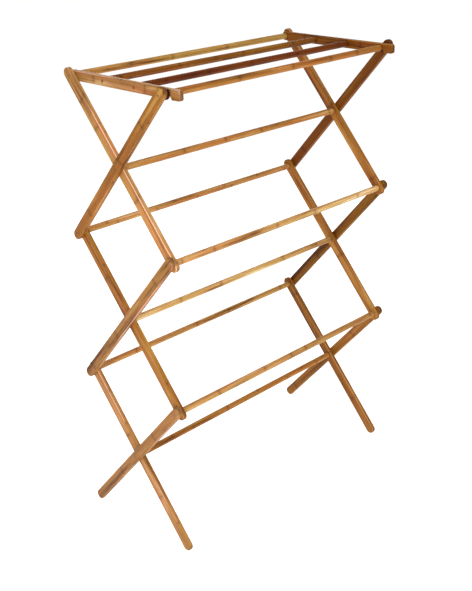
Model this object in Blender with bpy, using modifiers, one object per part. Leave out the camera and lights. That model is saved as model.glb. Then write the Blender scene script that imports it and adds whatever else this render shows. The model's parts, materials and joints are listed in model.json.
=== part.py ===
"""Folding bamboo clothes drying rack, 740 x 360 x 1100 mm.

Each end of the rack is an accordion frame of three crossed pairs of legs.
Long round bars join the two ends at every crossing and every corner.  On top
lies a shelf of two rails and two bars: it is hinged on the top back bar and
hooks over the top front bar, which is what keeps the accordion open.

Metres, +Z up, +X along the bars, -Y the front.  The origin is on the floor at
the middle of the rack's outline.  Every piece hangs on an empty that stands
on the axis its body turns about.
"""

import math

import bmesh
import bpy
from mathutils import Matrix, Vector

# Driving dimensions
RACK_WIDTH = 0.740
RACK_DEPTH = 0.360
RACK_HEIGHT = 1.100
LEVELS = 3
LEG_SPAN = 0.4685         # between the centres of a leg's two end pivots
LEG_TIP = 0.019           # from an end pivot's centre to the leg's tip
LEG_WIDTH = 0.024
STICK_THICKNESS = 0.011   # legs and rails are cut from the same flat stock
STICK_EDGE = 0.0015       # chamfer along the edges of legs and rails
FIT_GAP = 0.0003          # running gap between pieces that touch

RAIL_HEIGHT = 0.022
RAIL_BACK_OVERHANG = 0.012
RAIL_FRONT_CORNER = 0.005  # rounding of the two corners of a rail's front end
SHELF_BAR_PLACES = (1 / 3, 2 / 3)   # along the rail, from the back pivot

BAR_RADIUS = 0.0075
TENON_RADIUS = 0.005
SOCKET_DEPTH = 0.0075     # blind hole in the outermost stick of a pivot
SPACER_RADIUS = 0.011     # disc between leg and rail on the top front bar

NAIL_HEAD_RADIUS = 0.0018
NAIL_HEAD_HEIGHT = 0.0009
NAIL_SHANK_RADIUS = 0.0008
NAIL_LENGTH = 0.018
NAIL_TIP = 0.002
NAIL_SUNK = 0.0001        # the head lies this far below the wood

SCREW_HEAD_RADIUS = 0.0036
SCREW_HEAD_RIM = 0.0008
SCREW_HEAD_TAPER = 0.0020
SCREW_SHANK_RADIUS = 0.0018
SCREW_LENGTH = 0.034
SCREW_TIP = 0.004
SCREW_SUNK = 0.0025

# How the shelf leaves the top front bar: for each turn of the top legs, the
# hinge bar turns this much more, so the hook opens down and forwards.
HINGE_BAR_TURN = 1.0
HOOK_FRONT_SPARE = math.radians(5.0)
HOOK_BACK_FLARE = math.radians(6.0)

# Facets
END_STEPS = 16            # facets on the half-round end of a stick
CORNER_STEPS = 4
SPACER_SIDES = 32
HOOK_STEPS = 10
BORE_SIDES = 16
NAIL_SIDES = 8
SCREW_SIDES = 12

# Worked out from the driving dimensions
LEG_BEYOND = LEG_TIP - LEG_WIDTH / 2   # from an end pivot to the round end's centre
LEVEL_RISE = (RACK_HEIGHT - LEG_WIDTH) / (LEVELS + 2 * LEG_BEYOND / LEG_SPAN)
REACH = math.sqrt(LEG_SPAN ** 2 - LEVEL_RISE ** 2)
TOP_PIVOT_HEIGHT = RACK_HEIGHT - LEG_WIDTH / 2 - LEG_BEYOND * LEVEL_RISE / LEG_SPAN
BACK_Y = RACK_DEPTH / 2 - LEG_WIDTH / 2 - LEG_BEYOND * REACH / LEG_SPAN
FRONT_Y = BACK_Y - REACH
RAIL_FRONT_OVERHANG = FRONT_Y + RACK_DEPTH / 2
LAYER_STEP = STICK_THICKNESS + FIT_GAP

OUTER, INNER, RAIL = 0, 1, 2          # layers, counted from the outside in
LEVEL_NAMES = ("top", "middle", "low")
SIDES = (("left", -1.0), ("right", 1.0))


def bore_radius(pin_radius, sides):
    """Radius of a faceted bore whose flats clear a pin by the running gap."""
    return (pin_radius + FIT_GAP) / math.cos(math.pi / sides)


def back_pivot(level):
    """Centre (y, z) of the back corner pivot of a level, 0 at the top."""
    return BACK_Y, TOP_PIVOT_HEIGHT - level * LEVEL_RISE


def front_pivot(level):
    """Centre (y, z) of the front corner pivot of a level, 0 at the top."""
    return FRONT_Y, TOP_PIVOT_HEIGHT - level * LEVEL_RISE


def crossing(level):
    """Centre (y, z) of the pivot where the two legs of a level cross."""
    return (BACK_Y + FRONT_Y) / 2, TOP_PIVOT_HEIGHT - (level + 0.5) * LEVEL_RISE


def layer_face(layer):
    """Distance from the rack's middle to the outer face of a layer."""
    return RACK_WIDTH / 2 - layer * LAYER_STEP


def layer_inside(layer):
    """Distance from the rack's middle to the inner face of a layer."""
    return layer_face(layer) - STICK_THICKNESS


# ---------------------------------------------------------------- scene setup

def clear_scene():
    """Remove every object of the scene."""
    for old in list(bpy.data.objects):
        bpy.data.objects.remove(old, do_unlink=True)


def new_collection(name):
    """Add a collection to the scene."""
    made = bpy.data.collections.new(name)
    bpy.context.scene.collection.children.link(made)
    return made


def finish(name, colour, roughness, metallic=0.0):
    """Make a Principled material."""
    made = bpy.data.materials.new(name)
    made.use_nodes = True
    shader = made.node_tree.nodes["Principled BSDF"]
    shader.inputs["Base Color"].default_value = (*colour, 1.0)
    shader.inputs["Roughness"].default_value = roughness
    shader.inputs["Metallic"].default_value = metallic
    return made


# ------------------------------------------------------------- shape building

def arc(centre, radius, start, end, steps):
    """Points on an arc, both ends included."""
    angles = [start + (end - start) * i / steps for i in range(steps + 1)]
    return [(centre[0] + radius * math.cos(a), centre[1] + radius * math.sin(a)) for a in angles]


def leg_outline():
    """Outline of a leg with half-round ends, its pivots at 0 and LEG_SPAN."""
    radius = LEG_WIDTH / 2
    top_end = arc((-LEG_BEYOND, 0.0), radius, math.pi / 2, 3 * math.pi / 2, END_STEPS)
    low_end = arc((LEG_SPAN + LEG_BEYOND, 0.0), radius, -math.pi / 2, math.pi / 2, END_STEPS)
    return top_end + low_end


def rail_outline():
    """Outline of a shelf rail, its back pivot at 0 and its hook at REACH.

    The back end is half-round and the front end square with rounded corners.
    The hook's seat is an arc round the top front bar.  Its back wall leans a
    little for the shelf to lift, and its front wall leans along the way the
    bar leaves when the rack folds.
    """
    radius = RAIL_HEIGHT / 2
    back_centre = (radius - RAIL_BACK_OVERHANG, 0.0)
    back_end = arc(back_centre, radius, math.pi / 2, 3 * math.pi / 2, END_STEPS)
    corner_x = REACH + RAIL_FRONT_OVERHANG - RAIL_FRONT_CORNER
    corner_z = radius - RAIL_FRONT_CORNER
    front_end = arc(
        (corner_x, -corner_z), RAIL_FRONT_CORNER, -math.pi / 2, 0.0, CORNER_STEPS) + arc(
        (corner_x, corner_z), RAIL_FRONT_CORNER, 0.0, math.pi / 2, CORNER_STEPS)

    seat_radius = bore_radius(TENON_RADIUS, 2 * HOOK_STEPS)
    leaving = math.atan(LEVEL_RISE / (REACH * (1 + HINGE_BAR_TURN))) + HOOK_FRONT_SPARE
    seat = arc((REACH, 0.0), seat_radius, math.pi + HOOK_BACK_FLARE, leaving, HOOK_STEPS)
    (back_x, back_z), (front_x, front_z) = seat[0], seat[-1]
    back_mouth = (back_x - (back_z + radius) * math.tan(HOOK_BACK_FLARE), -radius)
    front_mouth = (front_x + (front_z + radius) * math.tan(leaving), -radius)
    return back_end + [back_mouth] + seat + [front_mouth] + front_end


def extrude_outline(name, outline):
    """Turn a flat outline into a stick of the stock thickness, a welded mesh."""
    curve = bpy.data.curves.new(name, "CURVE")
    curve.dimensions = "2D"
    curve.fill_mode = "BOTH"
    curve.extrude = STICK_THICKNESS / 2 - STICK_EDGE
    curve.bevel_depth = STICK_EDGE
    curve.bevel_resolution = 0
    curve.offset = -STICK_EDGE
    spline = curve.splines.new("POLY")
    spline.points.add(len(outline) - 1)
    for point, (x, y) in zip(spline.points, outline):
        point.co = (x, y, 0.0, 1.0)
    spline.use_cyclic_u = True
    drawn = bpy.data.objects.new(name, curve)
    bpy.context.scene.collection.objects.link(drawn)

    bpy.context.view_layer.update()
    evaluated = drawn.evaluated_get(bpy.context.evaluated_depsgraph_get())
    mesh = bpy.data.meshes.new_from_object(evaluated)
    weld = bmesh.new()
    weld.from_mesh(mesh)
    bmesh.ops.remove_doubles(weld, verts=weld.verts, dist=1e-5)
    bmesh.ops.recalc_face_normals(weld, faces=weld.faces)
    weld.to_mesh(mesh)
    weld.free()
    stick = bpy.data.objects.new(name, mesh)
    stick.matrix_world = drawn.matrix_world
    bpy.context.scene.collection.objects.link(stick)
    bpy.data.objects.remove(drawn)
    bpy.data.curves.remove(curve)
    return stick


def add_cutter(name, cylinders, cutters):
    """Make one cutter of several cylinders along Z.

    Each cylinder is (x, radius, sides, low z, high z).
    """
    shape = bmesh.new()
    for x, radius, sides, low, high in cylinders:
        place = Matrix.Translation((x, 0.0, (low + high) / 2))
        bmesh.ops.create_cone(
            shape, cap_ends=True, segments=sides, radius1=radius, radius2=radius,
            depth=high - low, matrix=place)
    mesh = bpy.data.meshes.new(name)
    shape.to_mesh(mesh)
    shape.free()
    cutter = bpy.data.objects.new(name, mesh)
    cutter.hide_render = True
    cutter.display_type = "WIRE"
    cutters.objects.link(cutter)
    return cutter


def cut_mesh(stick, drill_sets, cutters):
    """Cut each set of cylinders out of a stick, and return the cut mesh.

    The stick object is removed, so that copies can share its mesh.
    """
    for number, cylinders in enumerate(drill_sets):
        cut = stick.modifiers.new(f"drill_{number}", "BOOLEAN")
        cut.operation = "DIFFERENCE"
        cut.solver = "EXACT"
        cut.object = add_cutter(f"{stick.name}_drill_{number}", cylinders, cutters)
    bpy.context.view_layer.update()
    evaluated = stick.evaluated_get(bpy.context.evaluated_depsgraph_get())
    mesh = bpy.data.meshes.new_from_object(evaluated)
    mesh.name = stick.name
    bpy.data.objects.remove(stick)
    return mesh


def through_hole(x):
    """Drill sets for a bar's tenon passing right through a stick at x."""
    clear = STICK_THICKNESS
    return [[(x, bore_radius(TENON_RADIUS, BORE_SIDES), BORE_SIDES, -clear, clear)]]


def nailed_socket(x):
    """Drill sets for a blind socket at x, its nail's hole and head recess.

    The socket opens on the +Z face, and the nail comes in from the -Z face.
    """
    outside = -STICK_THICKNESS / 2
    inside = STICK_THICKNESS / 2
    recess = outside + NAIL_SUNK + NAIL_HEAD_HEIGHT + FIT_GAP
    bottom = inside - SOCKET_DEPTH
    clear = STICK_THICKNESS
    return [
        [(x, bore_radius(TENON_RADIUS, BORE_SIDES), BORE_SIDES, bottom, clear)],
        [(x, bore_radius(NAIL_SHANK_RADIUS, NAIL_SIDES), NAIL_SIDES, -clear, clear)],
        [(x, bore_radius(NAIL_HEAD_RADIUS, NAIL_SIDES), NAIL_SIDES, -clear, recess)],
    ]


def screw_hole(x):
    """Drill sets for a screw through a rail at x, its head on the -Z face."""
    outside = -STICK_THICKNESS / 2
    head_depth = SCREW_SUNK + SCREW_HEAD_RIM + SCREW_HEAD_TAPER + FIT_GAP
    clear = STICK_THICKNESS
    return [
        [(x, bore_radius(SCREW_SHANK_RADIUS, SCREW_SIDES), SCREW_SIDES, -clear, clear)],
        [(x, bore_radius(SCREW_HEAD_RADIUS, SCREW_SIDES), SCREW_SIDES, -clear,
          outside + head_depth)],
    ]


def merge_drills(*hole_groups):
    """Put the n-th cylinders of all the holes into one drill set each."""
    depth = max(len(group) for group in hole_groups)
    merged = [[] for _ in range(depth)]
    for group in hole_groups:
        for number, cylinders in enumerate(group):
            merged[number].extend(cylinders)
    return merged


def turned_mesh(name, profile, sides):
    """Turn a profile of (radius, z) points, top to bottom, round Z."""
    mesh = bpy.data.meshes.new(name)
    points = [(radius, 0.0, z) for radius, z in profile]
    mesh.from_pydata(points, [(i, i + 1) for i in range(len(points) - 1)], [])
    lathe = bpy.data.objects.new(name, mesh)
    bpy.context.scene.collection.objects.link(lathe)
    turn = lathe.modifiers.new("turn", "SCREW")
    turn.axis = "Z"
    turn.steps = sides
    turn.render_steps = sides
    turn.use_merge_vertices = True
    turn.merge_threshold = 1e-5
    bpy.context.view_layer.update()
    evaluated = lathe.evaluated_get(bpy.context.evaluated_depsgraph_get())
    turned = bpy.data.meshes.new_from_object(evaluated)
    turned.name = name
    bpy.data.objects.remove(lathe)
    bpy.data.meshes.remove(mesh)
    turned.shade_smooth()
    turned.set_sharp_from_angle(angle=math.radians(40))
    return turned


def bar_profile(half_body, half_length, bore, bore_depth):
    """Profile of a bar along Z: body, tenons, and a bore in each end."""
    floor = half_length - bore_depth
    upper = [(0.0, floor), (bore, floor), (bore, half_length)]
    if half_length > half_body:
        upper += [(TENON_RADIUS, half_length), (TENON_RADIUS, half_body)]
    upper += [(BAR_RADIUS, half_body)]
    return upper + [(radius, -z) for radius, z in reversed(upper)]


def nail_profile():
    """Profile of a round-headed nail, its head's top at 0."""
    return [
        (0.0, 0.0),
        (NAIL_HEAD_RADIUS, 0.0),
        (NAIL_HEAD_RADIUS, -NAIL_HEAD_HEIGHT),
        (NAIL_SHANK_RADIUS, -NAIL_HEAD_HEIGHT),
        (NAIL_SHANK_RADIUS, NAIL_TIP - NAIL_LENGTH),
        (0.0, -NAIL_LENGTH),
    ]


def screw_profile():
    """Profile of a countersunk wood screw, its head's top at 0."""
    return [
        (0.0, 0.0),
        (SCREW_HEAD_RADIUS, 0.0),
        (SCREW_HEAD_RADIUS, -SCREW_HEAD_RIM),
        (SCREW_SHANK_RADIUS, -SCREW_HEAD_RIM - SCREW_HEAD_TAPER),
        (SCREW_SHANK_RADIUS, SCREW_TIP - SCREW_LENGTH),
        (0.0, -SCREW_LENGTH),
    ]


# ------------------------------------------------------------------ placement

def add_axis(name, pivot, parts):
    """Add the empty that stands on a body's axis at (y, z)."""
    axis = bpy.data.objects.new(name, None)
    axis.empty_display_type = "SINGLE_ARROW"
    axis.empty_display_size = 0.03
    axis.location = (0.0, *pivot)
    parts.objects.link(axis)
    return axis


def add_piece(name, mesh, material, axis, location, turn, parts):
    """Add one piece of the rack at a world place, hung on its body's axis."""
    piece = bpy.data.objects.new(name, mesh)
    if not mesh.materials:
        mesh.materials.append(material)
    piece.parent = axis
    piece.location = Vector(location) - axis.location
    piece.rotation_euler = turn
    parts.objects.link(piece)
    return piece


def stick_turn(start, end, side):
    """Rotation that lays a stick from start to end, its +Z face inwards."""
    along = Vector((0.0, end[0] - start[0], end[1] - start[1])).normalized()
    inwards = Vector((-side, 0.0, 0.0))
    across = inwards.cross(along)
    return Matrix((along, across, inwards)).transposed().to_euler()


def facing_out(side):
    """Rotation that points +Z out of the given side of the rack."""
    return (0.0, side * math.pi / 2, 0.0)


# --------------------------------------------------------------- sub-assemblies

def leg_meshes(cutters):
    """Mesh of each kind of leg, by where its pivots are."""
    half, far = LEG_SPAN / 2, LEG_SPAN
    drills = {
        "outer": merge_drills(*(nailed_socket(x) for x in (0.0, half, far))),
        "outer_low": merge_drills(*(nailed_socket(x) for x in (0.0, half))),
        "inner_top": merge_drills(nailed_socket(0.0), through_hole(half), through_hole(far)),
        "inner": merge_drills(*(through_hole(x) for x in (0.0, half, far))),
        "inner_low": merge_drills(*(through_hole(x) for x in (0.0, half))),
    }
    return {
        kind: cut_mesh(extrude_outline(f"{kind}_leg", leg_outline()), drill_sets, cutters)
        for kind, drill_sets in drills.items()
    }


def add_legs(axes, wood, cutters, parts):
    """Add the twelve legs: a crossed pair on each level and side."""
    meshes = leg_meshes(cutters)
    inner_kinds = ("inner_top", "inner", "inner_low")
    outer_kinds = ("outer", "outer", "outer_low")
    for side_name, side in SIDES:
        for level, level_name in enumerate(LEVEL_NAMES):
            runs = (
                ("inner", INNER, inner_kinds[level], back_pivot(level), front_pivot(level + 1)),
                ("outer", OUTER, outer_kinds[level], front_pivot(level), back_pivot(level + 1)),
            )
            for leg_name, layer, kind, start, end in runs:
                x = side * (layer_face(layer) - STICK_THICKNESS / 2)
                add_piece(
                    f"{side_name}_{leg_name}_leg_{level_name}", meshes[kind], wood,
                    axes[f"{leg_name}_legs_{level_name}"], (x, *start),
                    stick_turn(start, end, side), parts)


def add_rails(axis, wood, cutters, parts):
    """Add the shelf's two rails, each with its hinge hole and its hook."""
    drill_sets = merge_drills(
        *(screw_hole(place * REACH) for place in SHELF_BAR_PLACES), through_hole(0.0))
    for side_name, side in SIDES:
        name = f"{side_name}_shelf_rail"
        # Its +Y edge is the underside on one end of the rack and the upper
        # side on the other, so the outline is drawn the right way up for each.
        outline = [(x, -side * z) for x, z in rail_outline()]
        mesh = cut_mesh(extrude_outline(name, outline), drill_sets, cutters)
        x = side * (layer_face(RAIL) - STICK_THICKNESS / 2)
        add_piece(
            name, mesh, wood, axis, (x, *back_pivot(0)),
            stick_turn(back_pivot(0), front_pivot(0), side), parts)


def add_spacers(axis, wood, cutters, parts):
    """Add the discs that fill the gap between leg and rail at the top front pivot."""
    last_turn = 2 * math.pi * (1 - 1 / SPACER_SIDES)
    outline = arc((0.0, 0.0), SPACER_RADIUS, 0.0, last_turn, SPACER_SIDES - 1)
    mesh = cut_mesh(extrude_outline("spacer", outline), through_hole(0.0), cutters)
    for side_name, side in SIDES:
        x = side * (layer_face(INNER) - STICK_THICKNESS / 2)
        add_piece(
            f"{side_name}_front_spacer", mesh, wood, axis, (x, *front_pivot(0)),
            facing_out(side), parts)


def shelf_bar_place(place):
    """Centre (y, z) of a shelf bar, by its share of the way to the front."""
    return BACK_Y - place * REACH, TOP_PIVOT_HEIGHT


def add_bars(axes, wood, parts):
    """Add the eleven long bars."""
    nail_bore = bore_radius(NAIL_SHANK_RADIUS, BORE_SIDES)
    nail_bore_depth = NAIL_LENGTH - STICK_THICKNESS + SOCKET_DEPTH + FIT_GAP
    screw_bore = bore_radius(SCREW_SHANK_RADIUS, BORE_SIDES)
    screw_bore_depth = SCREW_LENGTH + SCREW_SUNK - STICK_THICKNESS + FIT_GAP
    leg_socket_end = layer_inside(OUTER) + SOCKET_DEPTH - FIT_GAP
    hinge_socket_end = layer_inside(INNER) + SOCKET_DEPTH - FIT_GAP
    between_legs = layer_inside(INNER) - FIT_GAP
    between_rails = layer_inside(RAIL) - FIT_GAP

    frame_bar = turned_mesh("frame_bar", bar_profile(
        between_legs, leg_socket_end, nail_bore, nail_bore_depth), BORE_SIDES)
    front_bar = turned_mesh("hook_bar", bar_profile(
        between_rails, leg_socket_end, nail_bore, nail_bore_depth), BORE_SIDES)
    hinge_bar = turned_mesh("hinge_bar", bar_profile(
        between_rails, hinge_socket_end, nail_bore, nail_bore_depth), BORE_SIDES)
    shelf_bar = turned_mesh("shelf_bar", bar_profile(
        between_rails, between_rails, screw_bore, screw_bore_depth), BORE_SIDES)

    bars = (
        ("top_back_bar", hinge_bar, "hinge_bar", back_pivot(0)),
        ("shelf_bar_back", shelf_bar, "shelf", shelf_bar_place(SHELF_BAR_PLACES[0])),
        ("shelf_bar_front", shelf_bar, "shelf", shelf_bar_place(SHELF_BAR_PLACES[1])),
        ("top_front_bar", front_bar, "outer_legs_top", front_pivot(0)),
        ("top_crossing_bar", frame_bar, "outer_legs_top", crossing(0)),
        ("upper_back_bar", frame_bar, "outer_legs_top", back_pivot(1)),
        ("upper_front_bar", frame_bar, "outer_legs_middle", front_pivot(1)),
        ("middle_crossing_bar", frame_bar, "outer_legs_middle", crossing(1)),
        ("lower_back_bar", frame_bar, "outer_legs_middle", back_pivot(2)),
        ("lower_front_bar", frame_bar, "outer_legs_low", front_pivot(2)),
        ("low_crossing_bar", frame_bar, "low_crossing", crossing(2)),
    )
    for name, mesh, body, centre in bars:
        add_piece(name, mesh, wood, axes[body], (0.0, *centre), facing_out(1.0), parts)


def add_nails(axes, steel, parts):
    """Add the nail that holds each bar's end in its socket."""
    mesh = turned_mesh("nail", nail_profile(), NAIL_SIDES)
    nails = (
        ("top_back", "inner_legs_top", INNER, back_pivot(0)),
        ("top_front", "outer_legs_top", OUTER, front_pivot(0)),
        ("top_crossing", "outer_legs_top", OUTER, crossing(0)),
        ("upper_back", "outer_legs_top", OUTER, back_pivot(1)),
        ("upper_front", "outer_legs_middle", OUTER, front_pivot(1)),
        ("middle_crossing", "outer_legs_middle", OUTER, crossing(1)),
        ("lower_back", "outer_legs_middle", OUTER, back_pivot(2)),
        ("lower_front", "outer_legs_low", OUTER, front_pivot(2)),
        ("low_crossing", "outer_legs_low", OUTER, crossing(2)),
    )
    for side_name, side in SIDES:
        for place_name, body, layer, centre in nails:
            x = side * (layer_face(layer) - NAIL_SUNK)
            add_piece(
                f"{side_name}_nail_{place_name}", mesh, steel, axes[body], (x, *centre),
                facing_out(side), parts)


def add_screws(axis, steel, parts):
    """Add the screws that hold the shelf bars between the rails."""
    mesh = turned_mesh("screw", screw_profile(), SCREW_SIDES)
    for side_name, side in SIDES:
        for place_name, place in zip(("back", "front"), SHELF_BAR_PLACES):
            x = side * (layer_face(RAIL) - SCREW_SUNK)
            add_piece(
                f"{side_name}_screw_{place_name}", mesh, steel, axis,
                (x, *shelf_bar_place(place)), facing_out(side), parts)


def main():
    """Build the whole rack."""
    clear_scene()
    parts = new_collection("clothes_drying_rack")
    cutters = new_collection("cutters")
    leg_wood = finish("leg_bamboo", (0.52, 0.23, 0.07), 0.42)
    rail_wood = finish("rail_bamboo", (0.50, 0.22, 0.07), 0.42)
    bar_wood = finish("bar_bamboo", (0.56, 0.25, 0.08), 0.38)
    spacer_wood = finish("spacer_bamboo", (0.16, 0.05, 0.02), 0.48)
    nail_steel = finish("nail_steel", (0.10, 0.07, 0.05), 0.55, 0.9)
    screw_steel = finish("screw_steel", (0.08, 0.06, 0.05), 0.50, 0.9)

    pivots = {
        "low_crossing": crossing(2),
        "inner_legs_low": crossing(2),
        "outer_legs_low": crossing(2),
        "inner_legs_middle": front_pivot(2),
        "outer_legs_middle": back_pivot(2),
        "inner_legs_top": front_pivot(1),
        "outer_legs_top": back_pivot(1),
        "hinge_bar": back_pivot(0),
        "shelf": back_pivot(0),
    }
    axes = {name: add_axis(f"{name}_axis", pivot, parts) for name, pivot in pivots.items()}

    add_legs(axes, leg_wood, cutters, parts)
    add_rails(axes["shelf"], rail_wood, cutters, parts)
    add_bars(axes, bar_wood, parts)
    add_spacers(axes["outer_legs_top"], spacer_wood, cutters, parts)
    add_nails(axes, nail_steel, parts)
    add_screws(axes["shelf"], screw_steel, parts)


main()
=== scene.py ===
"""Looks of a folding bamboo clothes drying rack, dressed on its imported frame.

Each end of the rack is an accordion of three crossed pairs of legs, and round
bars join the two ends.  On top lies a shelf of two rails and two bars.  Every
stick, bar, nail and screw is worked out here as a surface on a grid, and
stands for the plain solid of the same name.

Metres, +Z up, +X along the bars, -Y the front.
"""

import json
import logging
import math
from dataclasses import dataclass, field
from enum import Enum

import bpy
import numpy as np
from mathutils import Matrix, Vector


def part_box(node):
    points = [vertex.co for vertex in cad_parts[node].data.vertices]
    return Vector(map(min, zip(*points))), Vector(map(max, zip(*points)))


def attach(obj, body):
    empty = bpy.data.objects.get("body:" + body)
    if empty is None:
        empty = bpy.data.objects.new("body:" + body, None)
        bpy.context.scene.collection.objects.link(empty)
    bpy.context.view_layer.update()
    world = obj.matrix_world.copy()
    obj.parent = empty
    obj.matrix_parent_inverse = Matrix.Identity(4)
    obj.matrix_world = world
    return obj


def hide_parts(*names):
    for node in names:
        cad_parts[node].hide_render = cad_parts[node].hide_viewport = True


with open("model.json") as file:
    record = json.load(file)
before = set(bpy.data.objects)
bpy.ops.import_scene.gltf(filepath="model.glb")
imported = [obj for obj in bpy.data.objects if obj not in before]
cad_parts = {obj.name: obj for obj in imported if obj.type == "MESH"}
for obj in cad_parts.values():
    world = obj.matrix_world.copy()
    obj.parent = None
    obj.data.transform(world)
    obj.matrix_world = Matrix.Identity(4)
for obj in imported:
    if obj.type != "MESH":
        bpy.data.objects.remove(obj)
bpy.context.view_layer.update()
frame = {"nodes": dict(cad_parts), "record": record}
log = logging.getLogger("drying_rack")

SIDES = {"left": -1.0, "right": 1.0}

WELD_REACH = 5e-6       # width of a cell in which points become one
END_GAP = 1e-4          # least gap between a ring and a stick's end
STRETCH = 3.71          # uncut wood from one piece's own length to the next
SCATTER = 0.9           # width of uncut wood the pieces are spread over
GOLDEN = 0.618          # share of that width from one piece to the next
WAVE_RATE = 31          # waver of a turned piece, radians a metre
WAVE_TWIST = 9          # turn of the waver round the axis, radians a metre
WAVE_SHIFT = 1.7        # waver's start from one piece to the next, radians
END_GAIN = 1.2          # how soon a sloping surface counts as end grain


# ------------------------------------------------------------ named options

class Shade(Enum):
    """How one piece of bamboo differs from the next, as a tint of its colour; the darker tints on
    the right end are partly painted shade, far from the key lamp.
    """

    CREAM = (1.36, 1.88, 2.70)
    PALE = (1.12, 1.33, 1.65)
    HONEY = (1.00, 1.10, 1.30)
    AMBER = (0.92, 0.97, 0.90)
    TAWNY = (0.84, 0.92, 1.10)
    CARAMEL = (0.86, 0.82, 0.60)
    TOFFEE = (0.72, 0.68, 0.44)
    OLIVE = (0.96, 1.25, 1.22)
    # MOSS, BROWN and WALNUT are dark tints; on the right end's legs and rail they are partly
    # painted shade
    MOSS = (0.50, 0.46, 0.15)
    BROWN = (0.49, 0.38, 0.13)
    WALNUT = (0.39, 0.26, 0.05)
    UMBER = (0.36, 0.19, 0.05)
    # near-black: painted shadow, for the discs in the gap between leg and rail
    GAP_SHADOW = (0.13, 0.035, 0.03)


class Seat(Enum):
    """What is cut into a stick's face round a pivot."""

    NAIL = "nail"          # a shallow round recess on the outer face
    SOCKET = "socket"      # a blind socket on the inner face
    THROUGH = "through"    # a hole right through
    SCREW = "screw"        # a counterbore on the outer face


# ------------------------------------------------------------ mesh building

@dataclass
class Patch:
    """Points, quads and what a finish reads at each point of a surface.

    grain is the place inside the uncut wood (along, across, depth), and the last field is (rounded
    edge, end grain, darkening round a pivot), each from 0 to 1; the rounded edge carries rubbed
    wear and a painted highlight.
    """

    points: np.ndarray
    quads: np.ndarray
    grain: np.ndarray
    wear_and_highlight: np.ndarray


def grid_quads(rows: int, columns: int, closed: bool = False) -> np.ndarray:
    """Corner numbers of the quads of a grid: each point with its next row and column.

    Args:
        rows: Number of rows of points.
        columns: Number of points in a row.
        closed: Whether the last row joins the first.

    Returns:
        An (n, 4) array of point numbers, row by row.
    """
    row = np.arange(rows if closed else rows - 1)[:, None]
    column = np.arange(columns - 1)[None, :]
    following = (row + 1) % rows
    corners = (row * columns + column, following * columns + column,
               following * columns + column + 1, row * columns + column + 1)
    shape = (len(row), columns - 1)
    return np.stack([np.broadcast_to(c, shape) for c in corners], -1).reshape(-1, 4)


def weld(patch: Patch, reach: float = WELD_REACH) -> Patch:
    """Merge points in the same cell of a lattice as fine as the reach, and drop unused ones.

    Args:
        patch: The patch to close, its seams and poles still doubled.
        reach: Width of a cell of the lattice.

    Returns:
        The patch with each point once; a quad that lost a corner repeats its last one.
    """
    used, corner = np.unique(patch.quads, return_inverse=True)
    cells = np.round(patch.points[used] / reach).astype(np.int64)
    _, first, number = np.unique(cells, axis=0, return_index=True, return_inverse=True)
    kept = used[first]
    quads = number.reshape(-1)[corner.reshape(-1, 4)]
    return Patch(patch.points[kept], quads, patch.grain[kept], patch.wear_and_highlight[kept])


def split_faces(quads: np.ndarray) -> tuple[np.ndarray, np.ndarray]:
    """Sort quads into whole ones and triangles, and drop those with less than three corners.

    A quad with two equal neighbours is a triangle: the doubled corner is left out.

    Args:
        quads: Corner numbers, (n, 4).

    Returns:
        The triangles (m, 3) and the quads (k, 4).
    """
    doubled = quads == np.roll(quads, -1, axis=1)
    crossed = (quads[:, 0] == quads[:, 2]) | (quads[:, 1] == quads[:, 3])
    count = doubled.sum(axis=1)
    whole = quads[(count == 0) & ~crossed]
    thin = quads[(count == 1) & ~crossed]
    kept = ~doubled[(count == 1) & ~crossed]
    return thin[kept].reshape(-1, 3), whole


def outward(points: np.ndarray, quads: np.ndarray) -> np.ndarray:
    """Turn all faces round if their signed volume is negative.

    The volume is the sum over the faces of the first corner dotted with the
    cross products of the second with the third and of the third with the
    fourth, over six.

    Args:
        points: Points of a closed surface, (n, 3).
        quads: Its faces, all turned the same way, (m, 4).

    Returns:
        The faces, seen from outside.
    """
    a, b, c, d = (points[quads[:, k]] for k in range(4))
    volume = np.einsum("ij,ij->i", a, np.cross(b, c) + np.cross(c, d)).sum() / 6
    return quads[:, ::-1] if volume < 0 else quads


def make_piece(name: str, patch: Patch, shade: Shade,
               finish: bpy.types.Material) -> bpy.types.Object:
    """Make one closed, smooth mesh object of a patch, its place in its mesh.

    Args:
        name: The piece's name.
        patch: Its surface, in world metres.
        shade: The tint of this piece of wood.
        finish: Its material.

    Returns:
        The object, standing at the origin.
    """
    closed = weld(patch)
    triangles, quads = split_faces(outward(closed.points, closed.quads))
    mesh = bpy.data.meshes.new(name)
    mesh.from_pydata(closed.points.tolist(), [], triangles.tolist() + quads.tolist())
    mesh.polygons.foreach_set("use_smooth", np.ones(len(mesh.polygons), bool))
    tint = np.broadcast_to(np.array(shade.value), closed.points.shape)
    for label, values in (("grain", closed.grain), ("wear_and_highlight", closed.wear_and_highlight), ("shade", tint)):
        layer = mesh.attributes.new(label, "FLOAT_VECTOR", "POINT")
        layer.data.foreach_set("vector", np.ascontiguousarray(values, np.float32).ravel())
    mesh.materials.append(finish)
    mesh.update()
    piece = bpy.data.objects.new(name, mesh)
    bpy.context.scene.collection.objects.link(piece)
    return piece


def dress(piece: bpy.types.Object, node: str) -> None:
    """Let a piece stand for a CAD node: hang it on the node's body and hide the node.

    Args:
        piece: The finished object.
        node: Name of the CAD node.
    """
    bodies = frame["record"]["behaviour"]["bodies"]
    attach(piece, next(body for body, nodes in bodies.items() if node in nodes))
    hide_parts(node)


def middle(node: str) -> np.ndarray:
    """Centre of a CAD node's box."""
    low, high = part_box(node)
    return (np.array(low) + np.array(high)) / 2


def arc(centre: tuple[float, float], radius: float, start: float, end: float,
        steps: int) -> np.ndarray:
    """Points on an arc: centre plus radius times cosine and sine of even angles."""
    angle = np.linspace(start, end, steps + 1)
    return np.array(centre) + radius * np.stack([np.cos(angle), np.sin(angle)], -1)


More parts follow.
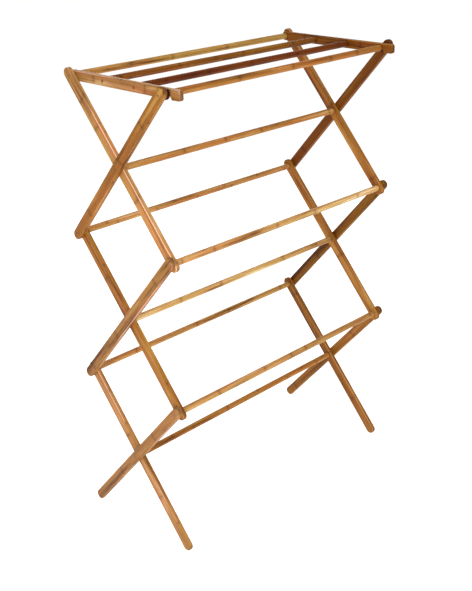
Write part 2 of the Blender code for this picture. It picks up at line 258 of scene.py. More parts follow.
def bend(start: np.ndarray, corner: np.ndarray, end: np.ndarray, steps: int) -> np.ndarray:
    """Quadratic curve from start to end, its tangents meeting in the corner, ends included."""
    share = np.linspace(0, 1, steps + 1)[:, None]
    return (1 - share) ** 2 * start + 2 * share * (1 - share) * corner + share ** 2 * end


def level(places: np.ndarray, height: float) -> np.ndarray:
    """Points at the given places, all at one height."""
    return np.stack([places, np.full(len(places), height)], -1)


def spread(low: float, high: float, step: float, rings: np.ndarray,
           centres: list[float]) -> np.ndarray:
    """Places along a stick: an even run, with the rings of each pivot in its stead nearby.

    Args:
        low: First place.
        high: Last place.
        step: Longest gap of the even run.
        rings: Distances from a pivot at which there are points, rising from 0.
        centres: Places of the pivots.

    Returns:
        The places in rising order, low and high included.
    """
    even = np.linspace(low, high, max(2, int(round((high - low) / step)) + 1))
    away = np.min([np.abs(even - c) for c in centres], axis=0)
    near = np.concatenate([np.concatenate([c - rings[1:], c + rings]) for c in centres])
    near = near[(near > low + END_GAP) & (near < high - END_GAP)]
    even = even[(away > rings[-1] + step / 4) | (even == low) | (even == high)]
    return np.unique(np.round(np.concatenate([even, near]), 7))


# ------------------------------------------------------------ flat sticks

@dataclass
class Pivot:
    """A seat at a place along a stick."""

    place: float
    seats: tuple[Seat, ...]


@dataclass
class StickOutline:
    """Lower and upper edge of a stick, as points with the same places along it.

    The two edges meet in the tips.  lower_edge and upper_edge are the rounding
    radii at their points.
    """

    lower: np.ndarray
    upper: np.ndarray
    lower_edge: np.ndarray
    upper_edge: np.ndarray


@dataclass
class FlatStick:
    """A flat bamboo stick with rounded edges, recesses and drilled holes.

    rings are the distances from a pivot at which the face has points.  They
    keep their size where the stick's half width is full_width outermost rings
    or more, and outer_rows share out the rest of it.  The rings' circles die
    out at fade outermost rings.
    """

    thickness: float = 0.011
    tenon_hole: float = 0.0053
    nail_recess: float = 0.0021
    nail_depth: float = 0.0013
    socket_depth: float = 0.0078
    screw_recess: float = 0.0039
    screw_depth: float = 0.0056
    wall: float = 0.00002
    rings: np.ndarray = field(default_factory=lambda: np.array(
        [0.0, 0.9, 1.6, 2.1, 2.12, 2.6, 3.2, 3.9, 3.92, 4.6, 5.3, 5.32, 5.9]) / 1000)
    full_width: float = 1.15
    outer_rows: tuple[float, ...] = (0.4, 0.85, 1.0)
    fade: float = 1.5
    edge_steps: int = 4
    # reach of the darkening round each pivot, where the parts overlap
    darkening_reach: float = 0.010

    def columns(self, outline: StickOutline) -> tuple[np.ndarray, ...]:
        """Face points of the stick, in columns from its lower to its upper edge.

        A column runs straight between the two edges' points, each set in by
        its rounding radius.  Its rows lie at the rings' distances from the
        column's middle, drawn in where the stick is narrow, and then even
        to the edge.

        Args:
            outline: The stick's outline.

        Returns:
            The face points (n, m, 2), then for each point of the closed outline its
            outward normal (k, 2), its rounding radius (k,) and its inset place (k, 2).
        """
        ring = np.concatenate([outline.lower, outline.upper[-2:0:-1]])
        radius = np.concatenate([outline.lower_edge, outline.upper_edge[-2:0:-1]])
        step = np.roll(ring, -1, 0) - ring
        step /= np.linalg.norm(step, axis=1)[:, None]
        tangent = step + np.roll(step, 1, 0)
        tangent /= np.linalg.norm(tangent, axis=1)[:, None]
        normal = np.stack([tangent[:, 1], -tangent[:, 0]], -1)
        inset = ring - normal * radius[:, None]

        count = len(outline.lower)
        lower = inset[:count]
        upper = np.concatenate([inset[:1], inset[:count - 1:-1], inset[count - 1:count]])
        centre, half = (lower + upper) / 2, (upper - lower) / 2
        width = np.linalg.norm(half, axis=1)
        size = np.minimum(1.0, width / (self.rings[-1] * self.full_width))
        drawn = self.rings[None, :] * size[:, None]
        last = drawn[:, -1:]
        outer = last + (width[:, None] - last) * np.array([self.outer_rows])
        rows = np.concatenate([drawn, outer], axis=1)
        share = rows / np.maximum(width, 1e-9)[:, None]
        share = np.concatenate([-share[:, :0:-1], share], axis=1)
        face = centre[:, None, :] + half[:, None, :] * np.clip(share, -1, 1)[:, :, None]
        return face, normal, radius, inset

    def ringed(self, face: np.ndarray, pivots: list[Pivot]) -> tuple[np.ndarray, np.ndarray]:
        """Draw the square rings of the grid round each pivot into circles.

        A point's ring is the larger of its two distances from the pivot.  It
        moves along its own ray to that radius, fully up to the last drilled
        ring and less and less beyond it.  The outermost rows stay put.

        Args:
            face: Face points (n, m, 2).
            pivots: The stick's pivots, on its middle line.

        Returns:
            The moved points, and the ring of each point of each pivot (p, n, m).
        """
        moved, found = face.copy(), []
        inner, outer = self.rings[-1], self.rings[-1] * self.fade
        for pivot in pivots:
            offset = face - np.array([pivot.place, 0.0])
            ring = np.abs(offset).max(axis=-1)
            distance = np.maximum(np.linalg.norm(offset, axis=-1), 1e-12)
            share = np.clip((outer - ring) / (outer - inner), 0.0, 1.0)
            share = share * share * (3 - 2 * share)
            moved += offset * ((ring / distance - 1.0) * share)[..., None]
            found.append(ring)
        moved[:, [0, -1]] = face[:, [0, -1]]
        return moved, np.array(found)

    def recess(self, rings: np.ndarray, pivots: list[Pivot], outer: bool) -> np.ndarray:
        """How deep the face is cut at each point: a flat-bottomed bore inside each seat's ring.

        Args:
            rings: The ring of each point of each pivot, (p, n, m).
            pivots: The stick's pivots.
            outer: Whether the outer face is meant, and not the inner one.

        Returns:
            The depth below the face, (n, m).
        """
        cuts = {
            Seat.NAIL: (self.nail_recess, self.nail_depth, True),
            Seat.SOCKET: (self.tenon_hole, self.socket_depth, False),
            Seat.SCREW: (self.screw_recess, self.screw_depth, True),
        }
        depth = np.zeros(rings.shape[1:])
        for pivot, ring in zip(pivots, rings):
            for seat in pivot.seats:
                radius, cut, on_outer = cuts.get(seat, (0.0, 0.0, outer))
                if on_outer == outer and cut:
                    depth = np.where(ring <= radius + self.wall / 4, cut, depth)
        return depth

    def drilled(self, rings: np.ndarray, pivots: list[Pivot]) -> np.ndarray:
        """Which cells of the face grid lie inside a hole that goes right through.

        Args:
            rings: The ring of each point of each pivot, (p, n, m).
            pivots: The stick's pivots.

        Returns:
            Whether each cell is gone, (n - 1, m - 1).
        """
        gone = np.zeros((rings.shape[1] - 1, rings.shape[2] - 1), bool)
        for pivot, ring in zip(pivots, rings):
            if Seat.THROUGH in pivot.seats:
                inside = ring <= self.tenon_hole + self.wall / 4
                gone |= inside[:-1, :-1] & inside[1:, :-1] & inside[:-1, 1:] & inside[1:, 1:]
        return gone

    def hole_walls(self, gone: np.ndarray, shape: tuple[int, int]) -> np.ndarray:
        """Quads between the two faces along the border of the drilled cells.

        An edge of the grid is on the border where just one of the two cells
        beside it is gone.

        Args:
            gone: Whether each cell is gone, (n - 1, m - 1).
            shape: Numbers of rows and columns of a face's points, n and m.

        Returns:
            The quads, the inner face's points numbered after the outer's.
        """
        rows, columns = shape
        number = np.arange(rows * columns).reshape(rows, columns)
        padded = np.pad(gone, 1)
        walls = []
        for axis in (0, 1):
            change = np.diff(padded.astype(int), axis=axis)
            change = change[:, 1:-1] if axis == 0 else change[1:-1, :]
            for sign in (1, -1):
                i, j = np.nonzero(change == sign)
                a = number[i, j]
                b = number[i, j + 1] if axis == 0 else number[i + 1, j]
                ahead = (sign > 0) != (axis == 0)
                a, b = (a, b) if ahead else (b, a)
                walls.append(np.stack([a, b, b + rows * columns, a + rows * columns], -1))
        return np.concatenate(walls)

    def build(self, outline: StickOutline, pivots: list[Pivot], darkened_places: list[float]) -> Patch:
        """Work out the whole stick in its own axes: along, across and depth.

        The rounded edge is a quarter turn: at each angle it stands the radius
        times the sine outside the inset outline, and sinks by the radius
        times one minus the cosine.

        Args:
            outline: The stick's outline.
            pivots: Its pivots with their seats.
            darkened_places: Places along it round which the wood is darker.

        Returns:
            The closed patch, its grain still without an offset.
        """
        half = self.thickness / 2
        flat, normal, radius, inset = self.columns(outline)
        flat, rings = self.ringed(flat, pivots)
        rows, columns = flat.shape[:2]
        outer = np.concatenate([flat, (half - self.recess(rings, pivots, True))[..., None]], -1)
        inner = np.concatenate([flat, (self.recess(rings, pivots, False) - half)[..., None]], -1)

        gone = self.drilled(rings, pivots)
        cells = grid_quads(rows, columns).reshape(rows - 1, columns - 1, 4)[~gone]
        walls = self.hole_walls(gone, (rows, columns))
        plate = np.concatenate([outer.reshape(-1, 3), inner.reshape(-1, 3)])
        plate_quads = np.concatenate([cells, cells[:, ::-1] + rows * columns, walls])

        quarter = np.linspace(0, np.pi / 2, self.edge_steps + 1)
        turn = np.concatenate([quarter, quarter[::-1]])
        out, sink = np.sin(turn), 1 - np.cos(turn)
        side = np.repeat([1.0, -1.0], len(quarter))
        across = inset[:, None, :] + normal[:, None, :] * (radius[:, None] * out)[..., None]
        height = side * (half - radius[:, None] * sink)
        rim = np.concatenate([across, height[..., None]], -1)
        rim_quads = grid_quads(*rim.shape[:2], closed=True)[:, ::-1]

        points = np.concatenate([plate, rim.reshape(-1, 3)])
        quads = np.concatenate([plate_quads, rim_quads + len(plate)])
        none = np.zeros(len(plate))
        # rounded-edge mask, where rubbed wear and a painted highlight go
        bulge = np.broadcast_to(np.sin(2 * np.arcsin(out)), rim.shape[:2])
        edge = np.concatenate([none, bulge.ravel()])
        end = np.concatenate([none, (normal[:, :1] ** 2 * out).ravel()])
        away = np.min([np.hypot(points[:, 0] - s, points[:, 1]) for s in darkened_places], axis=0)
        wear_and_highlight = np.stack([edge, end, np.exp(-(away / self.darkening_reach) ** 2)], -1)
        return Patch(points, quads, points.copy(), wear_and_highlight)


def placed(patch: Patch, origin: np.ndarray, along: np.ndarray, out: np.ndarray,
           seed: int) -> Patch:
    """Lay a stick or bar in the world, and give it its own stretch of the uncut wood.

    A point goes to the origin plus its three places times the along, across
    and outward directions; across is outward crossed with along.

    Args:
        patch: The piece in its own axes.
        origin: World place of its own origin.
        along: Direction it runs in.
        out: Direction its outer face looks in.
        seed: Number that picks its stretch of wood.

    Returns:
        The placed patch.
    """
    along, out = (np.asarray(v, float) / np.linalg.norm(v) for v in (along, out))
    axes = np.stack([along, np.cross(out, along), out])
    stretch = np.array([seed * STRETCH, (seed * GOLDEN % 1.0) * SCATTER, 0.0])
    return Patch(origin + patch.points @ axes, patch.quads, patch.grain + stretch, patch.wear_and_highlight)


@dataclass
class Legs:
    """The twelve legs: a crossed pair on each of three levels, on both ends."""

    span: float = 0.4685
    tip: float = 0.019
    width: float = 0.024
    edge: float = 0.0018
    step: float = 0.012
    tip_steps: int = 14
    first_seed: int = 1
    stock: FlatStick = field(default_factory=FlatStick)
    levels: tuple[str, ...] = ("top", "middle", "low")
    # the right end's tints, every second one, are darker: partly their own tone, partly painted
    # shade
    outer_shades: tuple[Shade, ...] = (
        Shade.TOFFEE, Shade.WALNUT, Shade.TAWNY, Shade.MOSS, Shade.TAWNY, Shade.TOFFEE)
    inner_shades: tuple[Shade, ...] = (
        Shade.PALE, Shade.CARAMEL, Shade.CARAMEL, Shade.CARAMEL, Shade.HONEY, Shade.TOFFEE)

    def outline(self) -> StickOutline:
        """Outline of a leg: straight edges and half-round ends.

        Returns:
            The outline, its end pivots at 0 and at the span.
        """
        radius = self.width / 2
        beyond = self.tip - radius
        far = self.span + beyond
        run = spread(-beyond, far, self.step, self.stock.rings, self.pivot_places())[1:-1]
        back = arc((-beyond, 0.0), radius, -math.pi, -math.pi / 2, self.tip_steps)
        front = arc((far, 0.0), radius, -math.pi / 2, 0.0, self.tip_steps)
        lower = np.concatenate([back, level(run, -radius), front])
        edges = np.full(len(lower), self.edge)
        return StickOutline(lower, lower * np.array([1.0, -1.0]), edges, edges)

    def pivot_places(self) -> list[float]:
        """Places of the two end pivots and the crossing along a leg."""
        return [0.0, self.span / 2, self.span]

    def line(self, outer: bool, tier: int) -> tuple[np.ndarray, np.ndarray]:
        """Where a leg runs: from its tier's front or back bar to where the legs cross.

        Args:
            outer: Whether it is an outer leg, which starts at the front bar.
            tier: Its level, counted down from 0.

        Returns:
            The first pivot, and the unit direction from it to the crossing.
        """
        row = ("top", "upper", "lower")[tier]
        start = middle(f"{row}_{'front' if outer else 'back'}_bar")
        along = middle(f"{self.levels[tier]}_crossing_bar") - start
        return start, along / np.linalg.norm(along)

    def pivots(self, outer: bool, tier: int) -> list[Pivot]:
        """Seats of a leg: nails and sockets in outer legs, holes through inner ones.

        The low legs have no pivot at their feet, and the top inner leg ends in
        the shelf's hinge, which is nailed into it.

        Args:
            outer: Whether it is an outer leg.
            tier: Its level, counted down from 0.

        Returns:
            The pivots from the leg's upper end down.
        """
        if outer:
            seats = [(Seat.NAIL, Seat.SOCKET)] * 3
        else:
            first = (Seat.NAIL, Seat.SOCKET) if tier == 0 else (Seat.THROUGH,)
            seats = [first, (Seat.THROUGH,), (Seat.THROUGH,)]
        last = 2 if tier == 2 else 3
        return [Pivot(p, s) for p, s in zip(self.pivot_places()[:last], seats)]

    def build(self, finish: bpy.types.Material) -> None:
        """Build and dress all twelve legs from the places of their CAD nodes.

        Args:
            finish: The legs' material.
        """
        outline = self.outline()
        kinds = (("outer", self.outer_shades), ("inner", self.inner_shades))
        pairs = [(tier, name, *kind) for tier, name in enumerate(self.levels) for kind in kinds]
        for pair, (tier, name, kind, shades) in enumerate(pairs):
            outer = kind == "outer"
            pivots = self.pivots(outer, tier)
            patch = self.stock.build(outline, pivots, [p.place for p in pivots])
            for number, (side, sign) in enumerate(SIDES.items()):
                node = f"{side}_{kind}_leg_{name}"
                start, down = self.line(outer, tier)
                start[0] = middle(node)[0]
                seed = self.first_seed + pair * 2 + number
                put = placed(patch, start, down, np.array([sign, 0.0, 0.0]), seed)
                piece = make_piece(f"{node}_stick", put, shades[tier * 2 + number], finish)
                dress(piece, node)


@dataclass
class ShelfRails:
    """The shelf's two rails, each with its hinge hole, two screws and a hook.

    squared is the length of the front end's corners, evened the even share in
    the places of the upper edge over the hook, and thinned the stretch over
    which the edge's rounding shrinks towards the hook.
    """

    height: float = 0.022
    edge: float = 0.0018
    hook_edge: float = 0.0006
    hook_back_flare: float = math.radians(6.0)
    hook_front_lean: float = math.radians(35.16)
    eased_corner: float = 0.0010
    squared: float = 0.009
    evened: float = 0.03
    thinned: float = 0.004
    step: float = 0.012
    tip_steps: int = 14
    seat_steps: int = 22
    corner_steps: int = 6
    wall_steps: int = 5
    front_steps: int = 15
    first_seed: int = 20
    stock: FlatStick = field(default_factory=FlatStick)
    # the right rail's darker tint is partly painted shade
    shades: tuple[Shade, ...] = (Shade.TAWNY, Shade.BROWN)

    def __post_init__(self) -> None:
        """Read the rail's length and its reach between the two pivots off the frame."""
        low, high = (np.array(c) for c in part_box("left_shelf_rail"))
        hinge, hook = middle("top_back_bar"), middle("top_front_bar")
        self.reach = hinge[1] - hook[1]
        self.back = high[1] - hinge[1]
        self.front = hook[1] - low[1]

    def hook(self) -> np.ndarray:
        """Lower edge through the hook, from the back to the front mouth corner.

        The seat is an arc round the bar, and the two walls leave it along its
        tangents down to the underside.

        Returns:
            The points, (n, 2).
        """
        radius, seat = self.height / 2, self.stock.tenon_hole
        bow = arc((self.reach, 0.0), seat, math.pi + self.hook_back_flare,
                  self.hook_front_lean, self.seat_steps)
        first, last = bow[0], bow[-1]
        back = np.array([first[0] - (first[1] + radius) * math.tan(self.hook_back_flare), -radius])
        front = np.array([last[0] + (last[1] + radius) * math.tan(self.hook_front_lean), -radius])
        eased = self.eased_corner
        down = (back - first) / np.linalg.norm(back - first)
        lean = (front - last) / np.linalg.norm(front - last)
        ahead = np.array([eased, 0.0])
        back_corner = bend(back - ahead, back, back - down * eased, self.corner_steps)
        front_corner = bend(front - lean * eased, front, front + ahead, self.corner_steps)
        wall = np.linspace(0, 1, self.wall_steps + 1)[1:-1, None]
        return np.concatenate([
            back_corner, back_corner[-1] + (first - back_corner[-1]) * wall, bow,
            last + (front_corner[0] - last) * wall, front_corner])

    def rising(self, places: np.ndarray) -> np.ndarray:
        """Places that never turn back: their running maximum, mixed with some of an even run."""
        even = np.linspace(places[0], places[-1], len(places))
        return np.maximum.accumulate(places) * (1 - self.evened) + even * self.evened

    def outline(self) -> StickOutline:
        """Outline of a rail, its back pivot at 0 and its hook round the reach.

        The back end is half-round.  The front end is square with rounded
        corners: its places run with the square root of the cosine of an even
        angle, and its heights with the square root of the sine.

        Returns:
            The outline.
        """
        radius = self.height / 2
        hook = self.hook()
        centres = [0.0, self.reach / 3, self.reach * 2 / 3]
        back_centre, tip = radius - self.back, self.reach + self.front
        run = spread(back_centre, hook[0, 0], self.step, self.stock.rings, centres)[1:-1]
        beyond = np.linspace(hook[-1, 0], tip - self.squared, self.wall_steps + 1)[1:-1]
        back = arc((back_centre, 0.0), radius, -math.pi, -math.pi / 2, self.tip_steps)
        near = -self.stock.rings[::-1]
        near = near[near < back_centre - END_GAP]
        fine = np.stack([near, -np.sqrt(radius ** 2 - (near - back_centre) ** 2)], -1)
        back = np.concatenate([back, fine])
        back = back[np.argsort(back[:, 0])]
        turn = np.linspace(-np.pi / 2, 0.0, self.front_steps + 1)
        front = np.stack([tip - self.squared + self.squared * np.sqrt(np.cos(turn)),
                          -radius * np.sqrt(np.abs(np.sin(turn)))], -1)
        lower = np.concatenate([back, level(run, -radius), hook, level(beyond, -radius), front])
        upper = lower * np.array([1.0, -1.0])
        away = np.maximum(hook[0, 0] - lower[:, 0], lower[:, 0] - hook[-1, 0])
        inside = away <= 1e-9
        upper[inside, 1] = radius
        upper[inside, 0] = self.rising(lower[inside, 0])
        share = np.clip(away / self.thinned, 0.0, 1.0)
        edges = self.hook_edge + (self.edge - self.hook_edge) * share
        return StickOutline(lower, upper, edges, np.full(len(lower), self.edge))

    def build(self, finish: bpy.types.Material) -> None:
        """Build and dress both rails.

        Args:
            finish: The rails' material.
        """
        outline = self.outline()
        pivots = [Pivot(0.0, (Seat.THROUGH,))]
        pivots += [Pivot(self.reach * share, (Seat.SCREW,)) for share in (1 / 3, 2 / 3)]
        patch = self.stock.build(outline, pivots, [0.0, self.reach])
        hinge = middle("top_back_bar")
        for number, (side, sign) in enumerate(SIDES.items()):
            node = f"{side}_shelf_rail"
            flip = np.array([1.0, -sign, 1.0])     # the hook opens downwards on both ends
            faced = Patch(patch.points * flip, patch.quads, patch.grain, patch.wear_and_highlight)
            start = np.array([middle(node)[0], hinge[1], hinge[2]])
            put = placed(faced, start, np.array([0.0, -1.0, 0.0]), np.array([sign, 0.0, 0.0]),
                         self.first_seed + number)
            piece = make_piece(f"{node}_stick", put, self.shades[number], finish)
            dress(piece, node)


# ------------------------------------------------------------ round pieces

def turned(profile: np.ndarray, sides: int, wobble: float = 0.0, seed: int = 0) -> Patch:
    """Turn a profile of (place, radius) round its axis.

    A point is its place along the axis, then its radius times the cosine and
    the sine of its angle.  A slow wave of a few tenths of a millimetre keeps
    a long bar from being perfectly round and straight.

    Args:
        profile: Points (n, 2), both ends on the axis or on each other.
        sides: Number of points round the axis.
        wobble: Height of the wave.
        seed: Number that shifts the wave.

    Returns:
        The patch in its own axes: along, across and depth.
    """
    angle = np.arange(sides) * 2 * np.pi / sides
    place, radius = profile[:, 0], profile[:, 1]
    slow = np.sin(place[None, :] * WAVE_RATE + seed * WAVE_SHIFT)
    wave = 1 + wobble * slow * np.cos(2 * angle[:, None] + place[None, :] * WAVE_TWIST + seed)
    grown = radius[None, :] * wave
    points = np.stack([np.broadcast_to(place, grown.shape), grown * np.cos(angle)[:, None],
                       grown * np.sin(angle)[:, None]], -1)
    quads = grid_quads(*points.shape[:2], closed=True)
    onward, widening = np.abs(np.gradient(place)), np.abs(np.gradient(radius))
    slope = widening / (onward + widening + 1e-12)
    end = np.broadcast_to(np.clip(slope * END_GAIN, 0, 1), grown.shape)
    flat = points.reshape(-1, 3)
    wear_and_highlight = np.stack([np.zeros(len(flat)), end.ravel(), np.zeros(len(flat))], -1)
    return Patch(flat, quads, flat.copy(), wear_and_highlight)


@dataclass
class HangingBars:
    """The eleven round bars, with their tenons and the bores in their ends.

    A bore is its radius and its depth.  Bars between the rails are shorter in
    the body than bars between the legs.
    """

    radius: float = 0.0075
    tenon: float = 0.0050
    chamfer: float = 0.0004
    eased: float = 0.0010
    sides: int = 40
    corner_points: int = 6
    body_points: int = 40
    wobble: float = 0.012
    turn: float = 0.7
    nail_bore: tuple[float, float] = (0.0011, 0.0148)
    screw_bore: tuple[float, float] = (0.0021, 0.0258)
    gap: float = 0.0003
    first_seed: int = 40
    between_rails: dict[str, Shade] = field(default_factory=lambda: {
        "shelf_bar_back": Shade.BROWN, "shelf_bar_front": Shade.UMBER,
        "top_back_bar": Shade.OLIVE, "top_front_bar": Shade.CARAMEL})
    between_legs: dict[str, Shade] = field(default_factory=lambda: {
        "top_crossing_bar": Shade.AMBER, "upper_back_bar": Shade.HONEY,
        "upper_front_bar": Shade.CREAM, "middle_crossing_bar": Shade.CREAM,
        "lower_back_bar": Shade.PALE, "lower_front_bar": Shade.PALE,
        "low_crossing_bar": Shade.CARAMEL})

    def profile(self, half_body: float, half_length: float,
                bore: tuple[float, float]) -> np.ndarray:
        """Profile of one bar from end to end.

        Each end is the floor of its bore, the bore, the tenon's chamfered
        end, the tenon, the shoulder and a quarter-round into the body.

        Args:
            half_body: Half the length between the shoulders.
            half_length: Half the length over the tenons.
            bore: Radius and depth of the bore in each end.

        Returns:
            Points of (place, radius), (n, 2).
        """
        hole, depth = bore
        quarter = np.linspace(0, np.pi / 2, self.corner_points)
        corner = np.stack([
            half_body - self.eased + self.eased * np.cos(quarter),
            self.radius - self.eased + self.eased * np.sin(quarter)], -1)
        end = [(half_length - depth, 0.0), (half_length - depth, hole), (half_length, hole)]
        if half_length > half_body + 1e-6:
            end += [(half_length, self.tenon - self.chamfer),
                    (half_length - self.chamfer, self.tenon), (half_body, self.tenon)]
        body = level(np.linspace(half_body - self.eased, 0.0, self.body_points)[1:], self.radius)
        right = np.concatenate([np.array(end), corner, body])
        return np.concatenate([right, right[-2::-1] * np.array([-1.0, 1.0])])

    def build(self, finish: bpy.types.Material) -> None:
        """Build and dress the eleven bars from the boxes of their CAD nodes.

        Args:
            finish: The bars' material.
        """
        inside = FlatStick().thickness / 2
        rails = abs(middle("left_shelf_rail")[0]) - inside - self.gap
        legs = abs(middle("left_inner_leg_top")[0]) - inside - self.gap
        shades = {**self.between_rails, **self.between_legs}
        for number, (node, shade) in enumerate(shades.items()):
            low, high = (np.array(c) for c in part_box(node))
            half_body = rails if node in self.between_rails else legs
            bore = self.screw_bore if node.startswith("shelf") else self.nail_bore
            profile = self.profile(half_body, (high[0] - low[0]) / 2, bore)
            patch = turned(profile, self.sides, self.wobble, number)
            tilt = number * self.turn
            put = placed(patch, (low + high) / 2, np.array([1.0, 0.0, 0.0]),
                         np.array([0.0, math.sin(tilt), math.cos(tilt)]),
                         self.first_seed + number)
            dress(make_piece(f"{node}_dowel", put, shade, finish), node)


@dataclass
class Spacers:
    """The two discs on the top front bar, each between a leg and a rail, painted near-black as the
    shadow in that gap.
    """

    radius: float = 0.011
    hole: float = 0.0053
    ledge: float = 0.0075
    thickness: float = 0.011
    edge: float = 0.0015
    corner_points: int = 6
    sides: int = 48
    end_grain_and_shade: float = 0.6
    first_seed: int = 60

    def profile(self) -> np.ndarray:
        """Profile of a disc, once round: hole, one face, rounded rim, other face.

        Returns:
            Points of (place, radius), (n, 2).
        """
        half, quarter = self.thickness / 2, np.linspace(0, np.pi / 2, self.corner_points)
        rim = np.stack([half - self.edge + self.edge * np.cos(quarter),
                        self.radius - self.edge + self.edge * np.sin(quarter)], -1)
        right = np.concatenate([[(half, self.hole), (half, self.ledge)], rim])
        left = right[::-1] * np.array([-1.0, 1.0])
        return np.concatenate([right, left, right[:1]])

    def build(self, finish: bpy.types.Material) -> None:
        """Build and dress both discs.

        Args:
            finish: The discs' material.
        """
        patch = turned(self.profile(), self.sides)
        # darkened all over: partly end grain, partly painted shadow
        patch.wear_and_highlight[:, 1] = self.end_grain_and_shade
        for number, side in enumerate(SIDES):
            node = f"{side}_front_spacer"
            put = placed(patch, middle(node), np.array([1.0, 0.0, 0.0]),
                         np.array([0.0, 0.0, 1.0]), self.first_seed + number)
            # near-black tint: painted shadow of the gap between leg and rail
            dress(make_piece(f"{node}_disc", put, Shade.GAP_SHADOW, finish), node)


@dataclass
class NailsAndScrews:
    """The nails at the pivots and the screws through the shelf rails."""

    nail_head: float = 0.0018
    nail_height: float = 0.0009
    nail_shank: float = 0.0008
    nail_dome: float = 0.00045
    nail_bend: float = 2.5
    nail_tip: float = 0.002
    nail_rings: int = 7
    nail_sides: int = 20
    screw_head: float = 0.0036
    screw_rim: float = 0.0008
    screw_taper: float = 0.0020
    screw_shank: float = 0.0018
    screw_tip: float = 0.004
    screw_rings: int = 19
    screw_sides: int = 64
    slot_half_width: float = 0.0005
    slot_reach: float = 0.0021
    slot_depth: float = 0.0016
    slot_side: float = 0.0002
    slot_end: float = 0.0003
    turn: float = 1.3

    def nail(self, length: float) -> Patch:
        """A domed nail: the dome sinks with a power of the radius, then a straight shank.

        Args:
            length: The nail's length.

        Returns:
            The patch, its head at 0 and its point behind.
        """
        share = np.linspace(0, 1, self.nail_rings)
        dome = np.stack([-self.nail_dome * share ** self.nail_bend, self.nail_head * share], -1)
        rest = np.array([
            (-self.nail_height, self.nail_head), (-self.nail_height, self.nail_shank),
            (self.nail_tip - length, self.nail_shank), (-length, 0.0)])
        return turned(np.concatenate([dome, rest]), self.nail_sides)

    def screw(self, length: float) -> Patch:
        """A countersunk screw: its head is sunk where either arm of a cross covers it.

        The cross is the union of two bars, and a point's depth falls off over
        the width of its side and end walls.

        Args:
            length: The screw's length.

        Returns:
            The patch, its head at 0 and its point behind.
        """
        share = np.linspace(0, 1, self.screw_rings)
        shoulder = -self.screw_rim - self.screw_taper
        rest = np.array([
            (-self.screw_rim, self.screw_head), (shoulder, self.screw_shank),
            (self.screw_tip - length, self.screw_shank), (-length, 0.0)])
        head = np.stack([np.zeros_like(share), self.screw_head * share], -1)
        patch = turned(np.concatenate([head, rest]), self.screw_sides)
        across, depth = np.abs(patch.points[:, 1]), np.abs(patch.points[:, 2])
        narrow, wide = np.minimum(across, depth), np.maximum(across, depth)
        inside = np.clip((self.slot_half_width - narrow) / self.slot_side + 0.5, 0, 1)
        inside *= np.clip((self.slot_reach - wide) / self.slot_end + 0.5, 0, 1)
        top = patch.points[:, 0] > -1e-6
        patch.points[:, 0] -= np.where(top, inside * self.slot_depth, 0.0)
        return patch

    def build(self, nail_finish: bpy.types.Material, screw_finish: bpy.types.Material) -> None:
        """Build and dress every nail and screw at its CAD node's place, its head outwards.

        Args:
            nail_finish: The nails' material.
            screw_finish: The screws' material.
        """
        kinds = (("_nail_", self.nail, nail_finish, "pin"),
                 ("_screw_", self.screw, screw_finish, "metal"))
        for mark, shape, finish, suffix in kinds:
            for number, node in enumerate(sorted(n for n in frame["nodes"] if mark in n)):
                low, high = (np.array(c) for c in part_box(node))
                sign = SIDES[node.split("_")[0]]
                head = (low + high) / 2
                head[0] = high[0] if sign > 0 else low[0]
                tilt = number * self.turn
                put = placed(shape(high[0] - low[0]), head, np.array([sign, 0.0, 0.0]),
                             np.array([0.0, math.sin(tilt), math.cos(tilt)]), number)
                dress(make_piece(f"{node}_{suffix}", put, Shade.AMBER, finish), node)


# ------------------------------------------------------------ finishes

Socket = bpy.types.NodeSocket
Colour = tuple[float, float, float]
Span = tuple[float, float]
WHITE = (1.0, 1.0, 1.0)


@dataclass(frozen=True)
class Noise:
    """Soft noise: its waves a metre along, across and in depth, and its character."""

    scale: tuple[float, float, float]
    detail: float
    rough: float = 0.5
    warp: float = 0.0


@dataclass(frozen=True)
class Layer:
    """One pass of colour over the wood, where a pattern lies; it tints or covers."""

    pattern: str
    strength: float
    colour: Colour
    covers: bool = False


